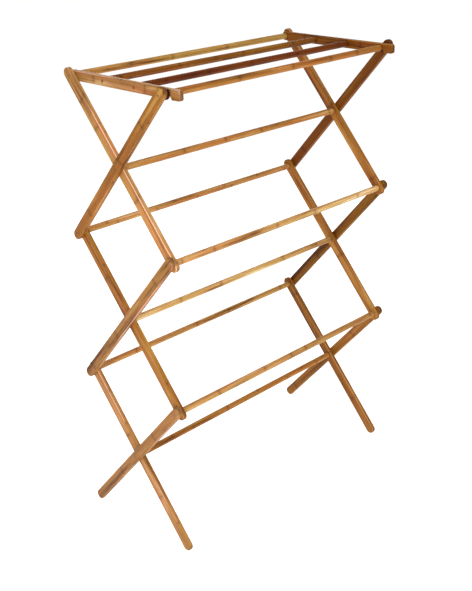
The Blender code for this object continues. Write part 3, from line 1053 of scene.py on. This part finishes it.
class Wiring:
    """Shader nodes of one material, added and joined one after another."""

    def __init__(self, name: str) -> None:
        """Start a material with nothing but its Principled shader and output.

        Args:
            name: The material's name.
        """
        self.material = bpy.data.materials.new(name)
        self.material.use_nodes = True
        self.nodes = self.material.node_tree.nodes
        self.links = self.material.node_tree.links
        self.shader = self.nodes["Principled BSDF"]

    def feed(self, target: Socket, value: Socket | float | tuple[float, ...]) -> None:
        """Join a socket to a target, or set the target's own value.

        Args:
            target: The input to fill.
            value: What fills it.
        """
        if isinstance(value, bpy.types.NodeSocket):
            self.links.new(value, target)
        else:
            target.default_value = value

    def surface(self, **values: Socket | float | tuple[float, ...]) -> None:
        """Feed the shader's inputs; a name's underscores stand for spaces."""
        for label, value in values.items():
            self.feed(self.shader.inputs[label.replace("_", " ")], value)

    def attribute(self, name: str) -> Socket:
        """Vector of a point attribute of the mesh.

        Args:
            name: The attribute's name.

        Returns:
            The vector.
        """
        node = self.nodes.new("ShaderNodeAttribute")
        node.attribute_name = name
        return node.outputs["Vector"]

    def place(self) -> Socket:
        """Place in the object's own metres."""
        return self.nodes.new("ShaderNodeTexCoord").outputs["Object"]

    def parts(self, vector: Socket) -> tuple[Socket, Socket, Socket]:
        """The three numbers of a vector.

        Args:
            vector: The vector.

        Returns:
            Its three numbers.
        """
        node = self.nodes.new("ShaderNodeSeparateXYZ")
        self.links.new(vector, node.inputs[0])
        return node.outputs[0], node.outputs[1], node.outputs[2]

    def noise(self, vector: Socket, pattern: Noise) -> Socket:
        """Soft noise from 0 to 1.

        Args:
            vector: The place at which it is read.
            pattern: The noise's waves and character.

        Returns:
            Its value.
        """
        scaled = self.nodes.new("ShaderNodeMapping")
        self.links.new(vector, scaled.inputs["Vector"])
        scaled.inputs["Scale"].default_value = pattern.scale
        node = self.nodes.new("ShaderNodeTexNoise")
        self.links.new(scaled.outputs[0], node.inputs["Vector"])
        for label, value in (("Scale", 1.0), ("Detail", pattern.detail),
                             ("Roughness", pattern.rough), ("Distortion", pattern.warp)):
            node.inputs[label].default_value = value
        return node.outputs[0]

    def math(self, kind: str, *values: Socket | float) -> Socket:
        """One step of arithmetic.

        Args:
            kind: The Math node's operation.
            values: Its one or two numbers.

        Returns:
            The result.
        """
        node = self.nodes.new("ShaderNodeMath")
        node.operation = kind
        for target, value in zip(node.inputs, values):
            self.feed(target, value)
        return node.outputs[0]

    def weighted(self, parts: list[tuple[Socket, float]], start: Socket | float = 0.0) -> Socket:
        """Sum of a starting number and some others times their weights.

        Args:
            parts: The other numbers with their weights.
            start: The number to start from.

        Returns:
            The sum.
        """
        total = start
        for value, weight in parts:
            total = self.math("ADD", total, self.math("MULTIPLY", value, weight))
        return total

    def band(self, value: Socket, span: Span) -> Socket:
        """Smooth rise from 0 at a span's start to 1 at its end.

        Args:
            value: The number that is read.
            span: Start and end; the start may be the larger one.

        Returns:
            A number from 0 to 1.
        """
        node = self.nodes.new("ShaderNodeMapRange")
        node.interpolation_type = "SMOOTHSTEP"
        self.links.new(value, node.inputs["Value"])
        falling = span[0] > span[1]
        for label, number in (("From Min", min(span)), ("From Max", max(span)),
                              ("To Min", float(falling)), ("To Max", float(not falling))):
            node.inputs[label].default_value = number
        return node.outputs[0]

    def ramp(self, value: Socket, stops: list[tuple[float, Colour]]) -> Socket:
        """Colour read off a row of stops.

        Args:
            value: The number that is read.
            stops: Places from 0 to 1 with their colours.

        Returns:
            The colour.
        """
        node = self.nodes.new("ShaderNodeValToRGB")
        self.links.new(value, node.inputs[0])
        row = node.color_ramp.elements
        while len(row) < len(stops):
            row.new(0.5)
        for stop, (place, colour) in zip(row, stops):
            stop.position = place
            stop.color = (*colour, 1.0)
        return node.outputs[0]

    def mix(self, kind: str, share: Socket | float, first: Socket,
            second: Socket | Colour) -> Socket:
        """Blend two colours.

        Args:
            kind: The Mix node's way of blending.
            share: How much the second colour counts.
            first: The colour underneath.
            second: The colour on top.

        Returns:
            The blend.
        """
        node = self.nodes.new("ShaderNodeMix")
        node.data_type = "RGBA"
        node.blend_type = kind
        over = second if isinstance(second, bpy.types.NodeSocket) else (*second, 1.0)
        for number, value in ((0, share), (6, first), (7, over)):
            self.feed(node.inputs[number], value)
        return node.outputs[2]

    def bump(self, height: Socket, distance: float, strength: float) -> None:
        """Raise the surface by a height.

        Args:
            height: The height, from 0 to about 1.
            distance: Metres that a height of 1 stands for.
            strength: How much of it shows.
        """
        node = self.nodes.new("ShaderNodeBump")
        node.inputs["Strength"].default_value = strength
        node.inputs["Distance"].default_value = distance
        self.links.new(height, node.inputs["Height"])
        self.links.new(node.outputs[0], self.shader.inputs["Normal"])


@dataclass(frozen=True)
class BambooFinish:
    """Caramel-coloured bamboo under a satin lacquer.

    Strips of split bamboo are glued flat on each other: each strip has its
    own tone, long fibres, short dark vessels and, every hand's breadth or
    so, the ring where the cane had a joint.  A span is where a pattern
    starts and where it is full.
    """

    name: str
    pale: Colour = (0.650, 0.355, 0.141)
    body: Colour = (0.386, 0.163, 0.039)
    deep: Colour = (0.130, 0.038, 0.006)
    strip: float = 0.0055
    joint_gap: float = 0.19
    joint_scatter: float = 0.75
    joint_shift: float = 9.0
    joint_waver: float = 0.012

    drift: Noise = Noise((6.0, 75.0, 90.0), 3.0)
    streak: Noise = Noise((6.0, 420.0, 420.0), 3.0, 0.6, 0.3)
    fibre: Noise = Noise((22.0, 1700.0, 1700.0), 3.0, 0.62)
    vessels: Noise = Noise((75.0, 2900.0, 2900.0), 1.0)
    waver: Noise = Noise((0.0, 260.0, 260.0), 2.0)
    warmth: Noise = Noise((5.0, 60.0, 60.0), 2.0)

    vessel_span: Span = (0.61, 0.72)
    line_span: Span = (0.0024, 0.0005)
    halo_span: Span = (0.0110, 0.0015)
    glue_span: Span = (0.035, 0.012)
    red_span: Span = (0.48, 0.70)
    green_span: Span = (0.48, 0.30)
    # darker patches on the rounded edges
    dark_edge_span: Span = (0.52, 0.34)
    # lighter patches on the rounded edges: rubbed wear and a painted highlight
    rub_and_highlight_span: Span = (0.46, 0.62)

    tone_stops: tuple[float, ...] = (0.26, 0.46, 0.60, 0.82)
    tones: tuple[tuple[str, float], ...] = (
        ("streak", 0.68), ("fibre", 0.32), ("drift", 1.10), ("chance", 0.10))
    layers: tuple[Layer, ...] = (
        Layer("red", 1.0, (1.04, 0.84, 0.80)),
        Layer("green", 1.0, (0.96, 1.04, 0.92)),
        Layer("vessel", 0.45, (0.50, 0.40, 0.32)),
        Layer("halo", 0.48, (0.66, 0.56, 0.46)),
        Layer("line", 0.44, (0.070, 0.020, 0.005), covers=True),
        Layer("glue", 0.35, (0.55, 0.45, 0.36)),
        # darker round each pivot, where the parts overlap
        Layer("pivot_darkening", 0.30, (0.72, 0.62, 0.55)),
        Layer("end", 0.55, (0.090, 0.036, 0.013), covers=True),
        # darker patches on the rounded edges
        Layer("dark_edge", 0.75, (0.42, 0.30, 0.22)),
        # lighter patches on the rounded edges: partly rubbed lacquer, partly a painted highlight
        Layer("rub_and_highlight", 0.62, (0.760, 0.490, 0.320), covers=True))
    relief: tuple[tuple[str, float], ...] = (
        ("fibre", 0.35), ("streak", 0.30), ("vessel", -0.30), ("line", -0.50),
        ("halo", 0.60), ("glue", -0.25))
    relief_depth: float = 0.00035
    relief_strength: float = 0.45

    smoothest: float = 0.36
    roughening: tuple[tuple[str, float], ...] = (("fibre", 0.22), ("rub_and_highlight", 0.10), ("end", 0.22))
    sheen: float = 0.08
    lacquer: float = 0.055
    lacquer_roughness: float = 0.28

    def chance(self, w: Wiring, along: Socket, strips: Socket) -> Socket:
        """A number from 0 to 1 of each strip of each piece.

        Args:
            w: The material's wiring.
            along: Place along the uncut wood.
            strips: Place in depth, counted in strips.

        Returns:
            The number.
        """
        seed = w.nodes.new("ShaderNodeCombineXYZ")
        w.feed(seed.inputs[0], w.math("FLOOR", strips))
        w.feed(seed.inputs[1], w.math("FLOOR", w.math("DIVIDE", along, STRETCH)))
        own = w.nodes.new("ShaderNodeTexWhiteNoise")
        own.noise_dimensions = "2D"
        w.links.new(seed.outputs[0], own.inputs["Vector"])
        return own.outputs["Value"]

    def from_joint(self, w: Wiring, grain: Socket, along: Socket, chance: Socket) -> Socket:
        """Distance to the nearest joint of the cane, in metres.

        Joints lie about their gap apart, elsewhere in each strip, and waver
        across it.

        Args:
            w: The material's wiring.
            grain: Place in the uncut wood.
            along: The same, along only.
            chance: The strip's own number.

        Returns:
            The distance.
        """
        offset = w.math("SUBTRACT", w.noise(grain, self.waver), 0.5)
        offset = w.math("MULTIPLY", offset, self.joint_waver)
        gaps = w.math("DIVIDE", w.math("ADD", along, offset), self.joint_gap)
        cell = w.nodes.new("ShaderNodeTexVoronoi")
        cell.voronoi_dimensions = "1D"
        cell.inputs["Randomness"].default_value = self.joint_scatter
        cell.inputs["Scale"].default_value = 1.0
        w.feed(cell.inputs["W"], w.weighted([(chance, self.joint_shift)], gaps))
        return w.math("MULTIPLY", cell.outputs["Distance"], self.joint_gap)

    def patterns(self, w: Wiring) -> dict[str, Socket]:
        """Wire every pattern, all read in the wood's own axes.

        Args:
            w: The material's wiring.

        Returns:
            The patterns by name; drift and chance are centred on 0.
        """
        grain = w.attribute("grain")
        along, _, depth = w.parts(grain)
        edge, end, pivot_darkening = w.parts(w.attribute("wear_and_highlight"))
        strips = w.math("DIVIDE", depth, self.strip)
        chance = self.chance(w, along, strips)
        joint = self.from_joint(w, grain, along, chance)
        seam = w.math("SUBTRACT", w.math("FRACT", w.math("ADD", strips, 0.5)), 0.5)
        warmth = w.noise(grain, self.warmth)
        return {
            "chance": w.math("SUBTRACT", chance, 0.5),
            "drift": w.math("SUBTRACT", w.noise(grain, self.drift), 0.5),
            "streak": w.noise(grain, self.streak),
            "fibre": w.noise(grain, self.fibre),
            "vessel": w.band(w.noise(grain, self.vessels), self.vessel_span),
            "line": w.band(joint, self.line_span),
            "halo": w.band(joint, self.halo_span),
            "glue": w.band(w.math("ABSOLUTE", seam), self.glue_span),
            "red": w.band(warmth, self.red_span),
            "green": w.band(warmth, self.green_span),
            # darker patches on the rounded edges
            "dark_edge": w.math("MULTIPLY", edge, w.band(warmth, self.dark_edge_span)),
            # lighter edge patches: rubbed wear and a painted highlight
            "rub_and_highlight": w.math("MULTIPLY", edge, w.band(warmth, self.rub_and_highlight_span)),
            "end": end,
            # darker round each pivot, where the parts overlap
            "pivot_darkening": pivot_darkening,
        }

    def colour(self, w: Wiring, found: dict[str, Socket]) -> Socket:
        """Wire the wood's colour: a tone between deep and pale, the layers, the piece's tint.

        Args:
            w: The material's wiring.
            found: The patterns.

        Returns:
            The colour.
        """
        tone = w.weighted([(found[label], weight) for label, weight in self.tones])
        stops = zip(self.tone_stops, (self.deep, self.body, self.body, self.pale))
        colour = w.ramp(tone, list(stops))
        for layer in self.layers:
            share = w.math("MULTIPLY", found[layer.pattern], layer.strength)
            kind = "MIX" if layer.covers else "MULTIPLY"
            colour = w.mix(kind, share, colour, layer.colour)
        return w.mix("MULTIPLY", 1.0, colour, w.attribute("shade"))

    def make(self) -> bpy.types.Material:
        """Wire the material.

        Returns:
            The finished material.
        """
        w = Wiring(self.name)
        found = self.patterns(w)
        rough = [(found[label], weight) for label, weight in self.roughening]
        height = [(found[label], weight) for label, weight in self.relief]
        w.surface(Base_Color=self.colour(w, found), Roughness=w.weighted(rough, self.smoothest),
                  Specular_IOR_Level=self.sheen, Coat_Weight=self.lacquer,
                  Coat_Roughness=self.lacquer_roughness)
        w.bump(w.weighted(height), self.relief_depth, self.relief_strength)
        return w.material


@dataclass(frozen=True)
class SteelFinish:
    """Darkened steel with a trace of rust and scuffed spots."""

    name: str
    dark: Colour = (0.055, 0.032, 0.022)
    bright: Colour = (0.230, 0.175, 0.140)
    rust: Colour = (0.170, 0.060, 0.022)
    cloud: Noise = Noise((900.0, 900.0, 900.0), 3.0, 0.6)
    scratch: Noise = Noise((2600.0, 500.0, 2600.0), 2.0)
    bright_span: Span = (0.35, 0.70)
    rust_span: Span = (0.55, 0.75)
    smoothest: float = 0.34
    roughening: float = 0.28
    metal: float = 0.85
    relief_depth: float = 0.00005
    relief_strength: float = 0.4

    def make(self) -> bpy.types.Material:
        """Wire the material on object coordinates.

        Returns:
            The finished material.
        """
        w = Wiring(self.name)
        where = w.place()
        cloud, scratch = w.noise(where, self.cloud), w.noise(where, self.scratch)
        colour = w.ramp(scratch, list(zip(self.bright_span, (self.dark, self.bright))))
        colour = w.mix("MIX", w.band(cloud, self.rust_span), colour, self.rust)
        w.surface(Base_Color=colour, Metallic=self.metal,
                  Roughness=w.weighted([(cloud, self.roughening)], self.smoothest))
        w.bump(scratch, self.relief_depth, self.relief_strength)
        return w.material


# ------------------------------------------------------------ studio

def stand(name: str, data: bpy.types.ID, axes: tuple[np.ndarray, ...],
          place: np.ndarray) -> bpy.types.Object:
    """Put a camera or a lamp in the scene.

    Args:
        name: The object's name.
        data: The camera or the lamp.
        axes: Its right, up and backward directions.
        place: Its place.

    Returns:
        The object.
    """
    made = bpy.data.objects.new(name, data)
    rows = [[*(float(axis[k]) for axis in axes), float(place[k])] for k in range(3)]
    made.matrix_world = Matrix([*rows, [0.0, 0.0, 0.0, 1.0]])
    bpy.context.scene.collection.objects.link(made)
    return made


@dataclass(frozen=True)
class Lamp:
    """A square soft light that looks at the rack."""

    name: str
    place: tuple[float, float, float]
    size: float
    power: float
    colour: Colour = WHITE

    def hang(self, aim: tuple[float, float, float]) -> None:
        """Hang the lamp.

        Args:
            aim: The point it looks at.
        """
        data = bpy.data.lights.new(self.name, "AREA")
        data.shape, data.size = "SQUARE", self.size
        data.energy, data.color = self.power, self.colour
        back = np.array(self.place) - np.array(aim)
        back /= np.linalg.norm(back)
        right = np.cross([0.0, 0.0, 1.0], back)
        right /= np.linalg.norm(right)
        stand(self.name, data, (right, np.cross(back, right), back), np.array(self.place))


@dataclass
class Studio:
    """A pale floor, soft lights and the camera."""

    azimuth: float = math.radians(-45.10)
    elevation: float = math.radians(22.59)
    roll: float = math.radians(-1.17)
    distance: float = 2.398
    aim: tuple[float, float, float] = (0.0, 0.0106, 0.55)
    lens: float = 58.43
    sensor: float = 36.0
    shift: tuple[float, float] = (-0.0081, -0.0340)
    clip: tuple[float, float] = (0.05, 60.0)
    floor_size: float = 70.0
    floor_drop: float = 0.0004
    floor_glow: float = 0.62
    floor_dull: Colour = (0.86, 0.86, 0.86)
    floor_pale: Colour = (0.90, 0.90, 0.89)
    floor_cloud: Noise = Noise((0.8, 0.8, 0.8), 1.0)
    floor_span: Span = (0.3, 0.7)
    floor_roughness: float = 0.9
    floor_sheen: float = 0.1
    surroundings: float = 0.46
    lit_point: tuple[float, float, float] = (0.0, 0.0, 0.6)
    lamps: tuple[Lamp, ...] = (
        Lamp("key", (-1.5, -0.7, 0.8), 0.9, 17.0, (1.0, 0.98, 0.95)),
        Lamp("front", (0.2, -2.4, 1.2), 1.4, 14.0),
        Lamp("top", (-0.3, 0.1, 2.9), 1.8, 30.0),
        Lamp("back", (1.7, 1.9, 1.5), 1.4, 16.0))

    def axes(self) -> tuple[np.ndarray, np.ndarray, np.ndarray]:
        """The camera's right, up and backward directions, rolled about its line of sight.

        Returns:
            The three directions.
        """
        sa, ca = math.sin(self.azimuth), math.cos(self.azimuth)
        se, ce = math.sin(self.elevation), math.cos(self.elevation)
        back = np.array([sa * ce, -ca * ce, se])
        right = np.array([ca, sa, 0.0])
        up = np.cross(back, right)
        cr, sr = math.cos(self.roll), math.sin(self.roll)
        return right * cr + up * sr, up * cr - right * sr, back

    def camera(self) -> None:
        """Stand the camera its distance from the aim and make it the scene's."""
        axes = self.axes()
        data = bpy.data.cameras.new("camera")
        data.lens, data.sensor_width = self.lens, self.sensor
        data.shift_x, data.shift_y = self.shift
        data.clip_start, data.clip_end = self.clip
        eye = np.array(self.aim) + axes[2] * self.distance
        bpy.context.scene.camera = stand("camera", data, axes, eye)

    def floor(self) -> None:
        """Lay the floor: a plain square a hair under the feet, that glows a little."""
        corner = np.array([[-1, -1], [1, -1], [1, 1], [-1, 1]]) * self.floor_size / 2
        mesh = bpy.data.meshes.new("floor")
        points = np.column_stack([corner, np.full(4, -self.floor_drop)])
        mesh.from_pydata(points.tolist(), [], [(0, 1, 2, 3)])
        w = Wiring("floor_white")
        cloud = w.noise(w.place(), self.floor_cloud)
        stops = zip(self.floor_span, (self.floor_dull, self.floor_pale))
        w.surface(Base_Color=w.ramp(cloud, list(stops)), Roughness=self.floor_roughness,
                  Emission_Color=(*WHITE, 1.0), Emission_Strength=self.floor_glow,
                  Specular_IOR_Level=self.floor_sheen)
        mesh.materials.append(w.material)
        laid = bpy.data.objects.new("floor", mesh)
        bpy.context.scene.collection.objects.link(laid)

    def world(self) -> None:
        """Even white surroundings."""
        sky = bpy.data.worlds.new("white")
        sky.use_nodes = True
        background = sky.node_tree.nodes["Background"]
        background.inputs[0].default_value = (*WHITE, 1.0)
        background.inputs[1].default_value = self.surroundings
        bpy.context.scene.world = sky

    def build(self) -> None:
        """Set the studio up round the rack."""
        self.camera()
        self.floor()
        self.world()
        for lamp in self.lamps:
            lamp.hang(self.lit_point)
        bpy.context.scene.view_settings.view_transform = "Standard"


# ------------------------------------------------------------ the whole rack


def main() -> None:
    """Build the rack piece by piece, then the studio round it."""
    logging.basicConfig(level=logging.INFO, format="%(message)s")
    Legs().build(BambooFinish("leg_bamboo_lacquered").make())
    ShelfRails().build(BambooFinish("rail_bamboo_lacquered").make())
    HangingBars().build(
        BambooFinish("bar_bamboo_lacquered", strip=0.0075, joint_gap=0.16).make())
    Spacers().build(BambooFinish("spacer_bamboo_lacquered", lacquer=0.03).make())
    screws = SteelFinish("screw_steel_dark", dark=(0.100, 0.028, 0.012),
                         bright=(0.260, 0.085, 0.038), metal=0.3)
    NailsAndScrews().build(SteelFinish("nail_steel_dark").make(), screws.make())
    Studio().build()


if __name__ == "__main__":
    main()
